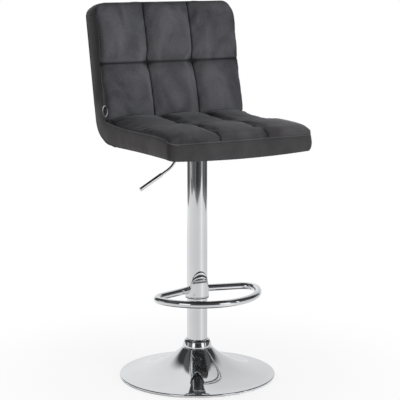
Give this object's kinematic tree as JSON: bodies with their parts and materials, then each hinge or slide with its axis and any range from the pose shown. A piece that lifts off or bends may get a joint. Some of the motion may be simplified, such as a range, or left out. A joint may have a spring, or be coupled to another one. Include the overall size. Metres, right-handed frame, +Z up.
{
  "type": "bar stool",
  "caption": "Swivelling bar stool with a gas lift, a trumpet base, a D-shaped footrest and a quilted velvet seat and back.",
  "frame": {"origin": "centre of the round base on the floor, on the column's axis", "axes": "+Z up along the column, -Y towards the front of the seat, -X towards the sitter's right, where the release lever is"},
  "size_m": [0.385, 0.4285, 0.9141],
  "materials": {
    "chrome": "polished chrome plate",
    "steel": "zinc plated steel",
    "black_steel": "black powder coat",
    "black_plastic": "moulded black plastic",
    "pale_plastic": "pale grey flexible edge strip",
    "rubber": "matt rubber",
    "velvet": "dark grey velvet with a soft sheen",
    "foam": "cut upholstery foam",
    "plywood": "unfinished bent plywood",
    "dust_felt": "black non-woven dust cloth",
    "badge_metal": "plain satin disc"
  },
  "bodies": {
    "base": {"base_plate": "chrome", "base_edge_ring": "pale_plastic", "ballast_disc": "black_steel", "base_hub": "black_steel", "base_washer": "steel", "base_bolt": "steel", "column_plug": "steel", "column_tube": "chrome", "column_cover_ring": "chrome", "guide_bush": "black_plastic", "footrest_tube": "chrome", "footrest_collar": "chrome", "footrest_liner": "black_plastic", "footrest_set_screw": "steel", "bearing_seat": "steel", "lower_race": "steel"},
    "bearing_cage": {"ball_cage": "black_plastic", "bearing_ball_1": "steel", "bearing_ball_2": "steel", "bearing_ball_3": "steel", "bearing_ball_4": "steel", "bearing_ball_5": "steel", "bearing_ball_6": "steel"},
    "lift_rod": {"piston_rod": "steel", "piston_head": "black_plastic", "rod_bumper": "rubber", "retaining_clip": "steel", "upper_race": "steel"},
    "seat": {"gas_cylinder": "chrome", "cylinder_seal": "black_plastic", "mount_plate": "black_steel", "taper_hub": "black_steel", "lever_bracket": "black_steel", "lever_pivot_pin": "steel", "seat_bolt_front_left": "steel", "seat_bolt_rear_left": "steel", "seat_bolt_front_right": "steel", "seat_bolt_rear_right": "steel", "t_nut_front_left": "steel", "t_nut_rear_left": "steel", "t_nut_front_right": "steel", "t_nut_rear_right": "steel", "seat_shell": "plywood", "seat_foam": "foam", "back_foam": "foam", "seat_cover": "velvet", "back_cover": "velvet", "front_band": "velvet", "top_band": "velvet", "side_band_left": "velvet", "side_band_right": "velvet", "rear_cover": "velvet", "dust_cover": "dust_felt", "badge": "badge_metal"},
    "lever": {"release_lever": "chrome", "lever_grip": "chrome"},
    "valve_pin": {"release_pin": "steel"}
  },
  "joints": [
    {"name": "seat_swivel", "type": "hinge", "parent": "base", "child": "lift_rod", "pos_m": [0, 0, 0.0744], "axis": [0, 0, 1], "continuous": true},
    {"name": "bearing_turn", "type": "hinge", "parent": "base", "child": "bearing_cage", "pos_m": [0, 0, 0.07135], "axis": [0, 0, 1], "continuous": true},
    {"name": "seat_lift", "type": "slide", "parent": "lift_rod", "child": "seat", "axis": [0, 0, 1], "range_m": [0, 0.21]},
    {"name": "lever_pull", "type": "hinge", "parent": "seat", "child": "lever", "pos_m": [-0.03, 0, 0.581], "axis": [0, 1, 0], "range_deg": [0, 6], "stiffness_Nm_per_rad": 2, "springref_deg": -5.73},
    {"name": "valve_stroke", "type": "slide", "parent": "seat", "child": "valve_pin", "axis": [0, 0, -1], "range_m": [0, 0.0036]}
  ],
  "couplings": [
    {"joint": "bearing_turn", "follows": "seat_swivel", "ratio": 0.5},
    {"joint": "valve_stroke", "follows": "lever_pull", "m_per_rad": 0.033}
  ]
}
